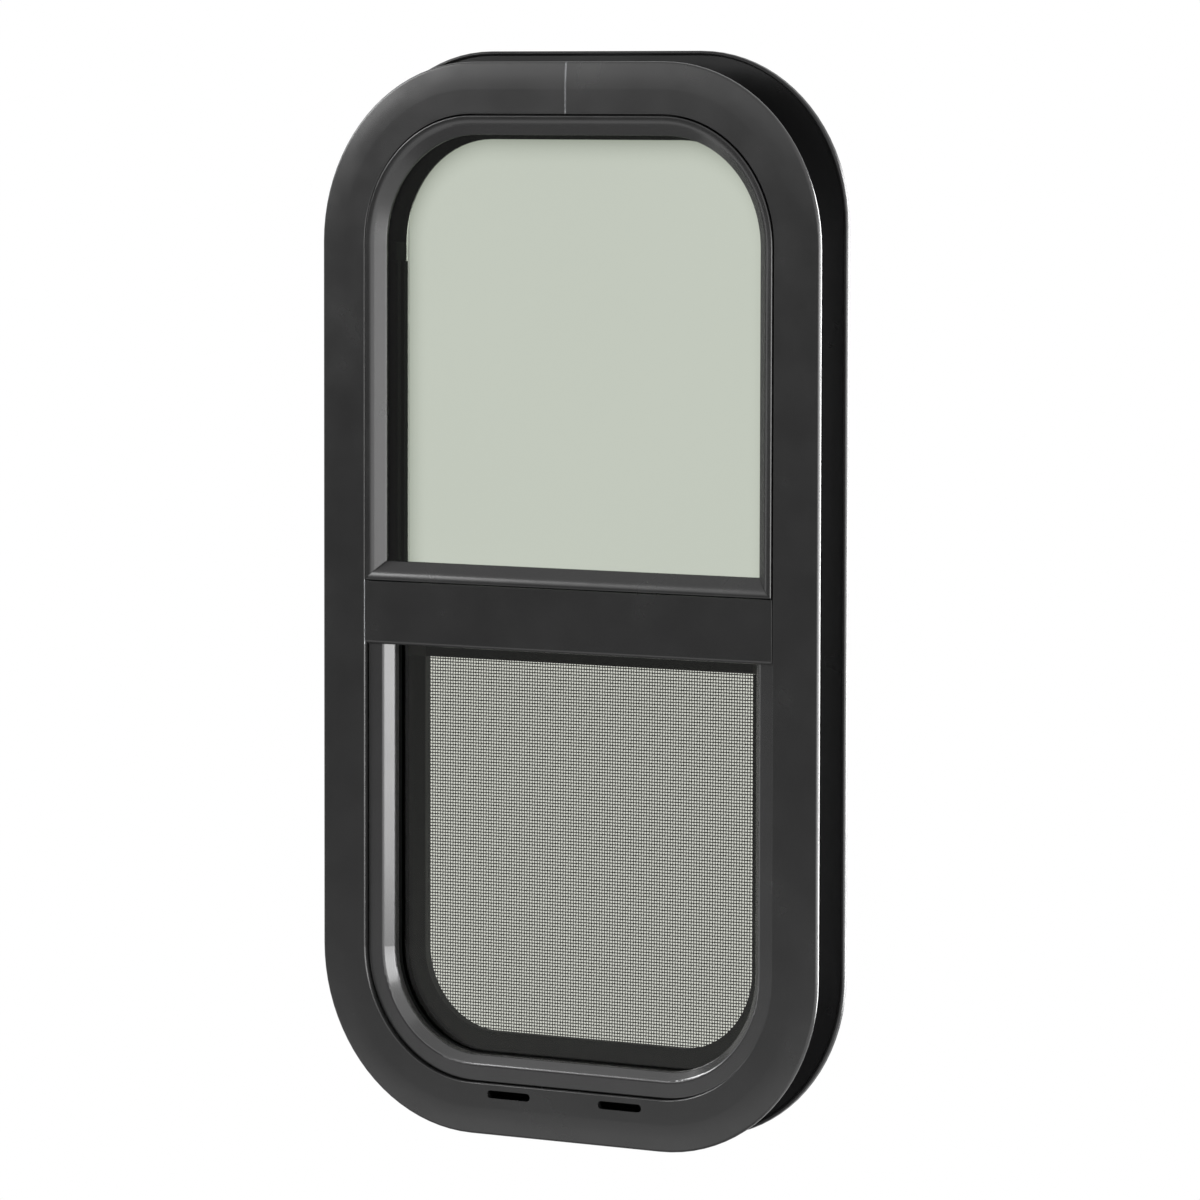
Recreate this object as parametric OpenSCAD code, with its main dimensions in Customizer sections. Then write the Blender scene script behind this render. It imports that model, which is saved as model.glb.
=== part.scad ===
// Vertical sliding caravan window with round corners, seen from outside at the front (-Y).
// X runs along the wall, Z up, Y into the wall. The origin is the middle of the flange's back face,
// which lies on the wall's outer skin.
// A section is drawn as (u, y): u is measured inward from the flange's outer edge, y into the wall.

/* [Overall] */
// Width over the outer flange
overall_w = 435; // [400:1:700]
// Height over the outer flange
overall_h = 796; // [700:1:1000]
// Radius of the flange's outer corners
corner_r = 134; // [115:1:160]
// Thickness of the wall between the flange and the clamp ring
wall_t = 35; // [32:1:60]

/* [Frame extrusion] */
// Width of the flat flange up to the glazing channel
flange_w = 38.5; // [34:0.5:44]
// Thickness of the flange in its flat inner part
flange_t = 3.6; // [2.6:0.1:4.4]
// Radius of the flange's outer front edge
flange_edge_r = 1.8; // [1:0.1:2.2]
// Width of the crowned outer part of the flange
crown_w = 20; // [14:0.5:24]
// Radius of the crown, which falls away towards the outer edge
crown_r = 200; // [180:5:400]
// Radius of the flange's inner front edge
flange_inner_r = 1.2; // [0.6:0.1:1.4]
// How far the flange overlaps the wall
wall_overlap = 21.5; // [20:0.5:26]
// Thickness of the extrusion's walls
skin_t = 1.8; // [1.2:0.1:2.4]
// Thickness of the glazing stop and the screen ledge
web_t = 1.5; // [1.2:0.1:1.6]
// Depth of the glazing stop behind the flange's back face
stop_y = 11; // [10:0.5:13]
// Reach of the glazing stop into the opening
stop_reach = 10; // [7:0.5:12]
// Reach of the screen ledge into the opening
ledge_reach = 18.5; // [16:0.5:20]
// Distance from the screen ledge to the frame's back
ledge_setback = 10.2; // [10:0.1:11]
// Width of the groove that takes the ring's screws
screw_groove_w = 2.8; // [2:0.1:3.5]
// Depth of the screw groove
screw_groove_d = 7.5; // [5:0.5:9]
// Gap of the frame's butt joint
seam_gap = 0.3; // [0.2:0.1:0.6]
// Length of the plate behind the frame's joint
frame_plate_l = 60; // [40:1:80]
// Width of the plate behind the frame's joint
frame_plate_w = 24.7; // [18:0.1:28]
// Length of the plate behind the ring's joint
ring_plate_l = 50; // [30:1:70]
// Width of the plate behind the ring's joint
ring_plate_w = 9; // [6:0.5:9]
// Thickness of both joint plates
plate_t = 1.5; // [1:0.1:2]

/* [Weep slots] */
// Length of a weep slot
weep_l = 38; // [20:1:45]
// Height of a weep slot
weep_h = 6; // [4:0.5:7]
// Distance between the middles of the two weep slots
weep_pitch = 98; // [70:1:140]
// Distance from the flange's outer edge to the middle of a slot
weep_u = 30.7; // [29:0.1:31.5]

/* [Clamp ring] */
// How far the ring's outline stands outside the flange's on each side
ring_grow = 0; // [0:0.5:4]
// Radius of the ring's outer corners
ring_corner_r = 126; // [115:1:134]
// How far the ring sits above the frame's middle
ring_lift = 8; // [0:0.5:8]
// Thickness of the ring's plate
ring_t = 2; // [1.5:0.1:3]
// Height of the rim that bears on the wall
ring_rim_h = 2; // [1:0.5:3]
// Reach of the ring into the opening past the flange
ring_reach = 12; // [11:0.5:15]
// Radius of the ring's rounded rim
ring_edge_r = 1.6; // [1:0.1:2]
// Height of the lip around the ring's opening
ring_lip_h = 0.8; // [0.5:0.1:1.2]
// Diameter of the ring's screw holes
ring_hole_d = 4.6; // [3.5:0.1:5.5]
// Spacing of the ring's side screws
ring_screw_pitch = 130; // [90:1:170]
// Distance between the ring's top screws
ring_top_pitch = 150; // [90:1:160]

/* [Upper glass] */
// Thickness of both glass panes
glass_t = 4; // [3:0.5:5]
// Depth of the upper pane's front face behind the flange's back face
upper_glass_y = 5.5; // [5:0.1:6.5]
// Gap between the upper pane's edge and the frame
pane_gap = 2; // [1:0.5:3]
// How far the upper pane goes down behind the rail's bead
pane_bite = 8.5; // [7:0.5:9]
// Length of a setting block under the upper pane
setting_block_l = 40; // [25:1:60]
// Width of the bead and its shadow gap around the upper pane
bead_w = 15.2; // [14:0.1:17]
// Width of the shadow gap between the flange and the bead
bead_gap = 0.9; // [0.4:0.1:0.9]
// How far the bead stands in front of the flange
bead_proud = 0.8; // [0.3:0.1:1.2]
// Radius of the bead's outer edge
bead_edge_r = 0.9; // [0.5:0.1:1.2]
// Radius of the bead's crown
bead_r = 10; // [8:0.5:10]
// Slope of the bead's face towards the pane
bead_slope = 38; // [30:1:40]
// Radius of the bead's toe on the pane
bead_toe_r = 1; // [0.5:0.1:1.2]

/* [Meeting rail] */
// Height of the meeting rail's top edge above the middle
rail_top = 11; // [-20:1:60]
// Height of the meeting rail's face
rail_h = 47; // [40:1:60]
// Radius of the rail's lower front lip
rail_lip_r = 2.6; // [1.5:0.1:3]
// Gap at each end of the meeting rail
rail_end_gap = 0.3; // [0.2:0.1:0.6]
// Height from the rail's web, which carries the setting blocks, to its top edge
rail_web_drop = 11; // [11:0.5:14]

/* [Lower insert and run channel] */
// Depth of the insert's flat face behind the flange's back face
insert_y = 1; // [0.5:0.5:2]
// Width of the insert's flat face
insert_flat_w = 11.1; // [9:0.1:12]
// Reach of the insert's nose past its flat face
insert_nose_w = 8.5; // [7.5:0.1:9]
// Radius where the flat face turns down to the nose
insert_crown_r = 4; // [2:0.5:4]
// Slope of the nose's face
insert_slope = 42; // [35:1:48]
// Radius of the nose's round end
insert_nose_r = 3; // [2:0.5:3.5]
// Reach of the run channel's lips into the opening
channel_reach = 19.5; // [18:0.5:26]
// Thickness of the run channel's lips
channel_lip_t = 3.4; // [2.5:0.1:3.6]
// Thickness of the run channel's bottom
channel_base_t = 1.6; // [1.2:0.1:2]
// Length of the stop above each end of the run channel
sash_stop_l = 14; // [10:1:30]

/* [Sliding sash] */
// Depth of the sliding pane's front face behind the flange's back face
sash_glass_y = 17; // [16.8:0.1:17.4]
// Height of the sash's top rail
sash_rail_h = 24; // [20:1:30]
// How far the sash rail's lower edge lies above the meeting rail's
sash_rail_rise = 2; // [0:0.5:6]
// How far the sliding pane's top edge lies below the sash rail's top
sash_rail_cap = 6; // [5:0.5:8]
// Wall of the sash rail in front of and behind the pane
sash_rail_wall = 2.4; // [2:0.1:2.4]
// Height of the brush strip between the two rails
weatherstrip_h = 6; // [4:0.5:9]
// Width of the latch's base
latch_w = 52; // [40:1:70]
// Height of the latch's base
latch_h = 12; // [10:0.5:14]
// Thickness of the latch's base
latch_t = 3; // [2:0.5:4]
// Radius of the lever's hub
lever_hub_r = 7; // [6:0.5:8]
// Length of the lever from the hub's middle
lever_l = 22; // [16:1:30]
// Width of the lever
lever_w = 5; // [4:0.5:7]

/* [Insect screen] */
// Width of the screen's frame
screen_frame_w = 18.5; // [14:0.5:22]
// Depth of the screen's frame
screen_frame_t = 8; // [6:0.5:8.3]
// Distance from the flange's inner wall to the screen's outer edge
screen_inset = 16; // [15:0.5:17]
// Distance from the meeting rail's lower edge down to the screen's opening
screen_drop = 10; // [5:0.5:16]
// Wall of the screen's rolled frame
screen_skin_t = 0.9; // [0.6:0.1:1.2]
// Diameter of the spline that holds the mesh
spline_d = 3.2; // [2.5:0.1:3.8]
// Distance from the screen's inner edge to the middle of the spline
spline_inset = 4.2; // [3.5:0.1:5]
// Depth of the step that the mesh lies on
mesh_step = 1.2; // [0.9:0.1:1.5]
// Thickness of the mesh sheet
mesh_t = 0.5; // [0.3:0.1:0.8]
// Height of a screen clip
clip_h = 10; // [8:0.5:14]
// How far a clip holds the screen's frame
clip_hold = 4; // [3:0.5:6]
// How far a clip reaches over the ring
clip_foot = 12; // [10:0.5:16]
// Thickness of a clip
clip_t = 2.5; // [2:0.1:3]
// Width of a pull tab
pull_w = 18; // [12:1:24]
// Height of a pull tab's foot on the screen's frame
pull_foot = 6; // [4:0.5:6]
// Reach of a pull tab into the room
pull_reach = 10; // [6:0.5:14]
// Thickness of a pull tab
pull_t = 1.5; // [1:0.1:2]

/* [Hidden] */
$fn = 96;
// clearance between pieces that are fitted to each other
fit = 0.3;
// clearance of pieces that are slid in
slip = 0.4;
// how far a cutting shape goes past what it cuts
past = 1;
half_w = overall_w / 2;
half_h = overall_h / 2;
frame_outline = [half_w, half_h, corner_r];
ring_outline = [half_w + ring_grow, half_h + ring_grow, ring_corner_r];
// the straight stretches end here, where the corners begin
straight_x = half_w - corner_r;
straight_z = half_h - corner_r;
front_y = -flange_t;
ring_y = wall_t + ring_rim_h;
body_end = ring_y - fit;
ledge_y = body_end - ledge_setback;
inner_wall_x = half_w - flange_w;
rail_bottom = rail_top - rail_h;
rail_back = stop_y + skin_t;
pane_u = flange_w + pane_gap;
pane_bottom = rail_top - pane_bite;
bead_end_u = flange_w + bead_w;
insert_u = flange_w + slip;
nose_u = insert_u + insert_flat_w;
insert_end = stop_y + web_t + fit;
channel_y = insert_end + slip;
channel_u = flange_w + slip;
channel_top = straight_z - sash_stop_l;
screen_u = flange_w + screen_inset;
screen_y = ledge_y + web_t + fit;
screen_back = screen_y + screen_frame_t;
screen_in_u = screen_u + screen_frame_w;
screen_top_z = rail_bottom - screen_drop;
screen_cap_z = screen_top_z + screen_frame_w;
spline_u = screen_in_u - spline_inset;
spline_y = screen_back - spline_d / 2 - slip;
mesh_y = screen_back - mesh_step;
clip_y = ring_y + ring_t + ring_lip_h;
clip_low_z = -straight_z + clip_h / 2;
clip_high_z = screen_top_z - 4 * clip_h;
ring_w = flange_w + ring_reach + ring_grow;
sash_rail_bottom = rail_bottom + sash_rail_rise;
sash_rail_top = sash_rail_bottom + sash_rail_h;
sash_rail_y = sash_glass_y - sash_rail_wall;
sash_rail_back = sash_glass_y + glass_t + sash_rail_wall;
sash_half_w = half_w - channel_u - channel_reach - slip;
sash_pane_top = sash_rail_top - sash_rail_cap;
latch_z = sash_rail_top - latch_h * 2 / 3;
latch_post_r = lever_hub_r - 2;
latch_post_l = latch_t + 4;
groove_u = (wall_overlap + flange_w) / 2;
frame_black = [0.2, 0.2, 0.21];
rubber_black = [0.06, 0.06, 0.06];
glass_green = [0.75, 0.8, 0.73, 0.5];

// Sweeps: the child is a section drawn as (u, y).

// An outline is [half its width, half its height, its corners' radius].

// A straight upright stretch at one side, +1 on the right and -1 on the left.
module side_run(side, z0, z1, outline = frame_outline) {
    mirror([side < 0 ? 1 : 0, 0, 0])
        translate([outline[0], 0, z0])
            linear_extrude(z1 - z0) mirror([1, 0]) children();
}
// A level stretch at the top (+1) or the bottom (-1).
module level_run(side, x0, x1, outline = frame_outline) {
    mirror([0, 0, side < 0 ? 1 : 0])
        translate([x1, 0, outline[1]])
            rotate([0, -90, 0]) linear_extrude(x1 - x0) mirror([1, 0]) children();
}
// One quarter turn at a corner.
module corner_run(side, level, outline = frame_outline) {
    r = outline[2];
    mirror([side < 0 ? 1 : 0, 0, 0]) mirror([0, 0, level < 0 ? 1 : 0])
        translate([outline[0] - r, 0, outline[1] - r])
            rotate([-90, 0, 0]) rotate([0, 0, -90])
                rotate_extrude(angle = 90) translate([r, 0]) mirror([1, 0]) children();
}
// The whole way round, with an open butt joint in the middle of the top or the bottom.
module full_run(joint_level, gap, outline = frame_outline) {
    end_x = outline[0] - outline[2];
    end_z = outline[1] - outline[2];
    for (side = [-1, 1]) {
        side_run(side, -end_z, end_z, outline) children();
        for (level = [-1, 1]) corner_run(side, level, outline) children();
    }
    level_run(-joint_level, -end_x, end_x, outline) children();
    level_run(joint_level, -end_x, -gap / 2, outline) children();
    level_run(joint_level, gap / 2, end_x, outline) children();
}
// A U from one height down round the bottom, or up round the top.
module u_run(level, z_end) {
    for (side = [-1, 1]) {
        side_run(side, level < 0 ? -straight_z : z_end, level < 0 ? z_end : straight_z) children();
        corner_run(side, level) children();
    }
    level_run(level, -straight_x, straight_x) children();
}
// A flat plate with the frame's outline, set in by u, between two depths.
module outline_plate(u, y0, y1) {
    r = corner_r - u;
    translate([0, y1, 0]) rotate([90, 0, 0]) linear_extrude(y1 - y0) union() {
        square([overall_w - 2 * u, overall_h - 2 * corner_r], center = true);
        square([overall_w - 2 * corner_r, overall_h - 2 * u], center = true);
        for (sx = [-1, 1], sz = [-1, 1]) translate([sx * straight_x, sz * straight_z]) circle(r);
    }
}
// A box from one corner to the opposite one.
module block(low, high) {
    translate(low) cube(high - low);
}
module rect(low, high) {
    translate(low) square(high - low);
}

// Sections, as (u, y).

module frame_section() {
    // stands behind the mount plane inside the hollow, so that the plane has the outer rim alone
    face_backing = 0.5;
    groove_wall = 1.3;
    groove_side = screw_groove_w / 2;
    // the outer edge's circle touches the crown's from inside
    edge_y = front_y + crown_r - sqrt(pow(crown_r - flange_edge_r, 2) - pow(crown_w - flange_edge_r, 2));
    touch_u = flange_edge_r * (crown_r - crown_w) / (crown_r - flange_edge_r);
    translate([flange_edge_r, edge_y]) circle(flange_edge_r);
    rect([0, edge_y], [flange_edge_r, 0]);
    intersection() {
        translate([crown_w, front_y + crown_r]) circle(crown_r);
        rect([touch_u, front_y], [crown_w, 0]);
    }
    rect([crown_w, front_y], [flange_w - flange_inner_r, 0]);
    translate([flange_w - flange_inner_r, front_y + flange_inner_r]) circle(flange_inner_r);
    rect([wall_overlap, front_y + flange_inner_r], [flange_w, face_backing]);
    rect([wall_overlap, 0], [wall_overlap + skin_t, body_end]);
    rect([flange_w - skin_t, 0], [flange_w, body_end]);
    difference() {
        union() {
            rect([wall_overlap, body_end - skin_t], [flange_w, body_end]);
            rect([groove_u - groove_side - groove_wall, body_end - screw_groove_d - groove_wall],
                [groove_u + groove_side + groove_wall, body_end]);
        }
        rect([groove_u - groove_side, body_end - screw_groove_d], [groove_u + groove_side, body_end + past]);
    }
    rect([flange_w, stop_y], [flange_w + stop_reach, stop_y + web_t]);
    rect([flange_w, ledge_y], [flange_w + ledge_reach, ledge_y + web_t]);
}
module ring_section() {
    rect([ring_edge_r, ring_y], [ring_w, ring_y + ring_t]);
    translate([ring_edge_r, wall_t + ring_edge_r]) circle(ring_edge_r);
    rect([0, wall_t + ring_edge_r], [2 * ring_edge_r, ring_y + ring_t]);
    rect([ring_w - ring_edge_r, ring_y], [ring_w, clip_y]);
}
// A face that turns down from a flat one in a crown, a straight slope and a round toe. The inset
// goes in from the face, and an inset face runs on past the end.
module rolled_face(start_u, face_y, end_u, end_y, crown, slope, toe_r, inset) {
    r = crown - inset;
    slope_u = start_u + r * sin(slope);
    slope_y = face_y + crown - r * cos(slope);
    toe_u = end_u - inset - toe_r;
    toe_y = slope_y + ((toe_u - slope_u) * sin(slope) + toe_r) / cos(slope);
    last_y = end_y + (inset > 0 ? past : 0);
    intersection() {
        translate([start_u, face_y + crown]) circle(r);
        rect([start_u, face_y], [slope_u, last_y]);
    }
    polygon([[slope_u, slope_y], [toe_u + toe_r * sin(slope), toe_y - toe_r * cos(slope)],
        [toe_u, toe_y], [toe_u, last_y], [slope_u, last_y]]);
    if (toe_y < last_y) {
        translate([toe_u, toe_y]) circle(toe_r);
        rect([toe_u, toe_y], [toe_u + toe_r, last_y]);
    }
}
module bead_face(start_u, inset) {
    rolled_face(start_u, front_y - bead_proud, bead_end_u, upper_glass_y, bead_r, bead_slope,
        bead_toe_r, inset);
}
module bead_section() {
    edge_u = flange_w + bead_gap;
    crown_u = edge_u + bead_edge_r;
    edge_y = front_y - bead_proud + bead_edge_r;
    difference() {
        union() {
            bead_face(crown_u, 0);
            translate([crown_u, edge_y]) circle(bead_edge_r);
            rect([edge_u, edge_y], [crown_u, upper_glass_y]);
        }
        bead_face(crown_u + skin_t / 2, skin_t);
    }
}
module insert_face(inset) {
    rolled_face(nose_u, insert_y, nose_u + insert_nose_w, insert_end, insert_crown_r, insert_slope,
        insert_nose_r, inset);
}
module insert_section() {
    edge_r = flange_inner_r;
    cut_end = insert_end + past;
    difference() {
        union() {
            translate([insert_u + edge_r, insert_y + edge_r]) circle(edge_r);
            rect([insert_u + edge_r, insert_y], [nose_u, insert_end]);
            rect([insert_u, insert_y + edge_r], [nose_u, insert_end]);
            insert_face(0);
        }
        rect([insert_u + skin_t, insert_y + skin_t], [nose_u, cut_end]);
        insert_face(skin_t);
        rect([insert_u - past, stop_y - fit], [nose_u, cut_end]);
    }
}
module channel_section() {
    back_y = ledge_y - fit;
    rect([channel_u, channel_y], [channel_u + channel_base_t, back_y]);
    rect([channel_u, channel_y], [channel_u + channel_reach, channel_y + channel_lip_t]);
    rect([channel_u, sash_glass_y + glass_t + slip], [channel_u + channel_reach, back_y]);
}
module screen_section() {
    groove_r = (spline_d + slip) / 2;
    difference() {
        rect([screen_u, screen_y], [screen_in_u, screen_back]);
        rect([screen_u + screen_skin_t, screen_y + screen_skin_t],
            [spline_u - groove_r - screen_skin_t, screen_back - screen_skin_t]);
        rect([spline_u - groove_r, spline_y - groove_r], [spline_u + groove_r, screen_back + past]);
        rect([spline_u, mesh_y], [screen_in_u + past, screen_back + past]);
    }
}

// Outer frame

module weep_slot(x) {
    z = -half_h + weep_u;
    end_x = (weep_l - weep_h) / 2;
    for (s = [-1, 1]) translate([x + s * end_x, past, z])
        rotate([90, 0, 0]) cylinder(h = flange_t + 2 * past, d = weep_h);
    block([x - end_x, front_y - past, z - weep_h / 2], [x + end_x, past, z + weep_h / 2]);
}
module outer_frame() color(frame_black) {
    difference() {
        full_run(1, seam_gap) frame_section();
        for (s = [-1, 1]) weep_slot(s * weep_pitch / 2);
    }
}
module frame_joint_plate() color("dimgray") {
    x = frame_plate_l / 2;
    z = half_h - wall_overlap;
    edge = (body_end - frame_plate_w) / 2;
    block([-x, edge, z], [x, body_end - edge, z + plate_t]);
}

// Clamp ring

// The holes follow the frame's screw groove, not the ring's own middle.
module ring_holes() {
    corner = (corner_r - groove_u) * sin(45);
    for (sx = [-1, 1]) {
        for (k = [-1.5, -0.5, 0.5, 1.5]) ring_hole(sx * (half_w - groove_u), k * ring_screw_pitch);
        for (sz = [-1, 1]) {
            ring_hole(sx * ring_top_pitch / 2, sz * (half_h - groove_u));
            ring_hole(sx * (straight_x + corner), sz * (straight_z + corner));
        }
    }
}
module ring_hole(x, z) {
    translate([x, ring_y + ring_t + past, z]) rotate([90, 0, 0])
        cylinder(h = ring_t + 2 * past, d = ring_hole_d);
}
module clamp_ring() color(frame_black) {
    difference() {
        translate([0, 0, ring_lift]) full_run(-1, seam_gap, ring_outline) ring_section();
        ring_holes();
    }
}
module ring_joint_plate() color("dimgray") {
    x = ring_plate_l / 2;
    z = -half_h - ring_grow + ring_lift + 2 * ring_edge_r + slip;
    block([-x, ring_y - plate_t, z], [x, ring_y, z + ring_plate_w]);
}

// Upper pane and what holds it

module upper_glass() color(glass_green) {
    intersection() {
        outline_plate(pane_u, upper_glass_y, upper_glass_y + glass_t);
        block([-half_w, 0, pane_bottom], [half_w, wall_t, half_h]);
    }
}
// Cuts the bead's lower ends to a mitre that meets the rail's bead.
module mitre_cut(keep_side) {
    reach = 4 * bead_w;
    depth = flange_t + bead_proud + past;
    for (sx = [-1, 1])
        translate([sx * inner_wall_x, -depth, rail_top]) rotate([0, sx > 0 ? 45 : -45, 0])
            if (keep_side) block([-reach, 0, -reach], [reach, depth + stop_y, 0]);
            else block([-reach, 0, 0], [reach, depth + stop_y, reach]);
}
module upper_bead() color(frame_black) {
    difference() {
        u_run(1, rail_top) bead_section();
        translate([0, 0, fit / 2]) mitre_cut(true);
    }
}
module rail_bead() color(frame_black) {
    difference() {
        translate([inner_wall_x, 0, rail_top - flange_w])
            rotate([0, -90, 0]) linear_extrude(2 * inner_wall_x) bead_section();
        translate([0, 0, -fit / 2]) mitre_cut(false);
    }
}
module glazing_tape() color(rubber_black) {
    u_run(1, rail_top + fit)
        rect([pane_u, upper_glass_y + glass_t], [flange_w + stop_reach - past, stop_y]);
}

// Meeting rail

module rail_section() {
    hollow_r = rail_lip_r - skin_t / 2;
    web_z = rail_top - rail_web_drop;
    difference() {
        union() {
            rect([rail_bottom + rail_lip_r, front_y], [rail_top, front_y + skin_t]);
            rect([rail_bottom, front_y + rail_lip_r], [rail_bottom + skin_t, rail_back]);
            translate([rail_bottom + rail_lip_r, front_y + rail_lip_r]) circle(rail_lip_r);
            rect([web_z - skin_t, front_y], [web_z, rail_back]);
            rect([rail_bottom, stop_y], [rail_top, rail_back]);
        }
        translate([rail_bottom + skin_t + hollow_r, front_y + skin_t + hollow_r]) circle(hollow_r);
    }
}
module meeting_rail() color(frame_black) {
    end_x = inner_wall_x - rail_end_gap;
    cope_x = inner_wall_x - stop_reach - fit;
    difference() {
        translate([end_x, 0, 0]) rotate([0, -90, 0]) linear_extrude(2 * end_x) rail_section();
        for (sx = [-1, 1]) mirror([sx < 0 ? 1 : 0, 0, 0])
            block([cope_x, stop_y - fit, rail_bottom - past], [half_w, wall_t, rail_top + past]);
    }
}
module rail_glazing_strip() color(rubber_black) {
    x = inner_wall_x - stop_reach - past;
    block([-x, upper_glass_y + glass_t, pane_bottom], [x, stop_y, rail_top - past]);
}
module setting_block(x) color(rubber_black) {
    end_x = setting_block_l / 2;
    block([x - end_x, upper_glass_y, rail_top - rail_web_drop],
        [x + end_x, upper_glass_y + glass_t, pane_bottom]);
}
module setting_block_left() setting_block(-inner_wall_x / 2);
module setting_block_right() setting_block(inner_wall_x / 2);
module rail_weatherstrip() color(rubber_black) {
    z = sash_rail_bottom + weatherstrip_h;
    block([-sash_half_w, rail_back, z], [sash_half_w, sash_rail_y, z + weatherstrip_h]);
}

// Lower half

module lower_insert() color(frame_black) u_run(-1, rail_bottom - fit) insert_section();
module run_channel() color(rubber_black) u_run(-1, channel_top) channel_section();
module sash_stop(side) color(rubber_black) {
    side_run(side, channel_top + fit, straight_z)
        rect([channel_u, channel_y], [flange_w + ledge_reach, ledge_y - fit]);
}
module sash_stop_left() sash_stop(-1);
module sash_stop_right() sash_stop(1);

// Sliding sash

module sash_glass() color(glass_green) {
    intersection() {
        outline_plate(channel_u + channel_base_t + slip, sash_glass_y, sash_glass_y + glass_t);
        block([-half_w, 0, -half_h], [half_w, wall_t, sash_pane_top]);
    }
}
module sash_rail_section() {
    trough_z = sash_pane_top + fit + skin_t;
    difference() {
        rect([sash_rail_bottom, sash_rail_y], [sash_rail_top, sash_rail_back]);
        rect([sash_rail_bottom - past, sash_glass_y], [sash_pane_top + fit, sash_glass_y + glass_t]);
        rect([trough_z, sash_rail_y + skin_t], [sash_rail_top + past, sash_rail_back - skin_t]);
    }
}
module sash_top_rail() color(frame_black) {
    translate([sash_half_w, 0, 0]) rotate([0, -90, 0]) linear_extrude(2 * sash_half_w) sash_rail_section();
}
module sash_latch() color(rubber_black) {
    x = latch_w / 2;
    block([-x, sash_rail_back, latch_z - latch_h / 2], [x, sash_rail_back + latch_t, latch_z + latch_h / 2]);
    translate([0, sash_rail_back + latch_post_l, latch_z]) rotate([90, 0, 0])
        cylinder(h = latch_post_l, r = latch_post_r);
}
module latch_lever() color(rubber_black) {
    y0 = sash_rail_back + latch_post_l;
    y1 = y0 + 4;
    translate([0, y1, latch_z]) rotate([90, 0, 0]) cylinder(h = y1 - y0, r = lever_hub_r);
    block([-lever_w / 2, y0 + slip, latch_z], [lever_w / 2, y1, latch_z + lever_l]);
}

// Insect screen

module screen_frame() color(frame_black) u_run(-1, screen_top_z - fit) screen_section();
module screen_top_bar() color(frame_black) {
    x = half_w - screen_in_u - fit;
    translate([x, 0, screen_cap_z + screen_u]) rotate([0, -90, 0])
        linear_extrude(2 * x) mirror([1, 0]) screen_section();
}
module screen_corner(side) color(rubber_black) {
    x0 = half_w - screen_in_u;
    mirror([side < 0 ? 1 : 0, 0, 0])
        block([x0, screen_y, screen_top_z], [half_w - screen_u, mesh_y, screen_cap_z]);
}
module screen_corner_left() screen_corner(-1);
module screen_corner_right() screen_corner(1);
module screen_spline() color(rubber_black) {
    u_run(-1, screen_top_z - past) translate([spline_u, spline_y]) circle(spline_d / 2, $fn = 24);
    x = half_w - screen_in_u - past;
    translate([x, spline_y, screen_cap_z + screen_u - spline_u]) rotate([0, -90, 0])
        cylinder(h = 2 * x, d = spline_d, $fn = 24);
}
module screen_mesh() color([0.3, 0.3, 0.3, 0.5]) {
    border = spline_inset - spline_d / 2 - slip;
    intersection() {
        outline_plate(screen_in_u - border, mesh_y, mesh_y + mesh_t);
        block([-half_w, 0, -half_h], [half_w, ring_y, screen_top_z + border]);
    }
}
module screen_clip(side, z) color(rubber_black) {
    x_in = half_w - screen_u - clip_hold;
    x_out = half_w - screen_u + clip_foot;
    low = z - clip_h / 2;
    high = z + clip_h / 2;
    mirror([side < 0 ? 1 : 0, 0, 0]) {
        block([x_in, clip_y, low], [x_out, clip_y + clip_t, high]);
        block([x_in, screen_back + fit, low], [x_in + clip_hold - past, clip_y, high]);
    }
}
module screen_clip_low_left() screen_clip(-1, clip_low_z);
module screen_clip_low_right() screen_clip(1, clip_low_z);
module screen_clip_high_left() screen_clip(-1, clip_high_z);
module screen_clip_high_right() screen_clip(1, clip_high_z);
module screen_pull(side) color(rubber_black) {
    end_x = pull_w / 2;
    x = side * (straight_x - end_x);
    foot = ring_lift - half_h - ring_grow + ring_w + fit;
    tip = foot + pull_foot;
    block([x - end_x, screen_back, foot], [x + end_x, screen_back + pull_t, tip]);
    block([x - end_x, screen_back, tip - pull_t], [x + end_x, screen_back + pull_reach, tip]);
}
module screen_pull_left() screen_pull(-1);
module screen_pull_right() screen_pull(1);

outer_frame();
frame_joint_plate();
clamp_ring();
ring_joint_plate();
upper_glass();
upper_bead();
glazing_tape();
meeting_rail();
rail_bead();
rail_glazing_strip();
setting_block_left();
setting_block_right();
rail_weatherstrip();
lower_insert();
run_channel();
sash_glass();
sash_top_rail();
sash_stop_left();
sash_stop_right();
sash_latch();
latch_lever();
screen_frame();
screen_top_bar();
screen_corner_left();
screen_corner_right();
screen_spline();
screen_mesh();
screen_clip_low_left();
screen_clip_low_right();
screen_clip_high_left();
screen_clip_high_right();
screen_pull_left();
screen_pull_right();
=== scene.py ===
"""A black caravan window with a fixed upper pane and a sliding lower pane, dressed for rendering.

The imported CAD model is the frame. Its nodes keep their shapes and get finishes here. The insect
cloth, the screen's cord and the small fasteners are made here and ride on the same body.
"""

import logging
import math
from collections.abc import Iterable, Mapping, Sequence
from dataclasses import dataclass, field
from enum import Enum
from typing import Any

import bpy
from mathutils import Matrix, Vector

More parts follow.
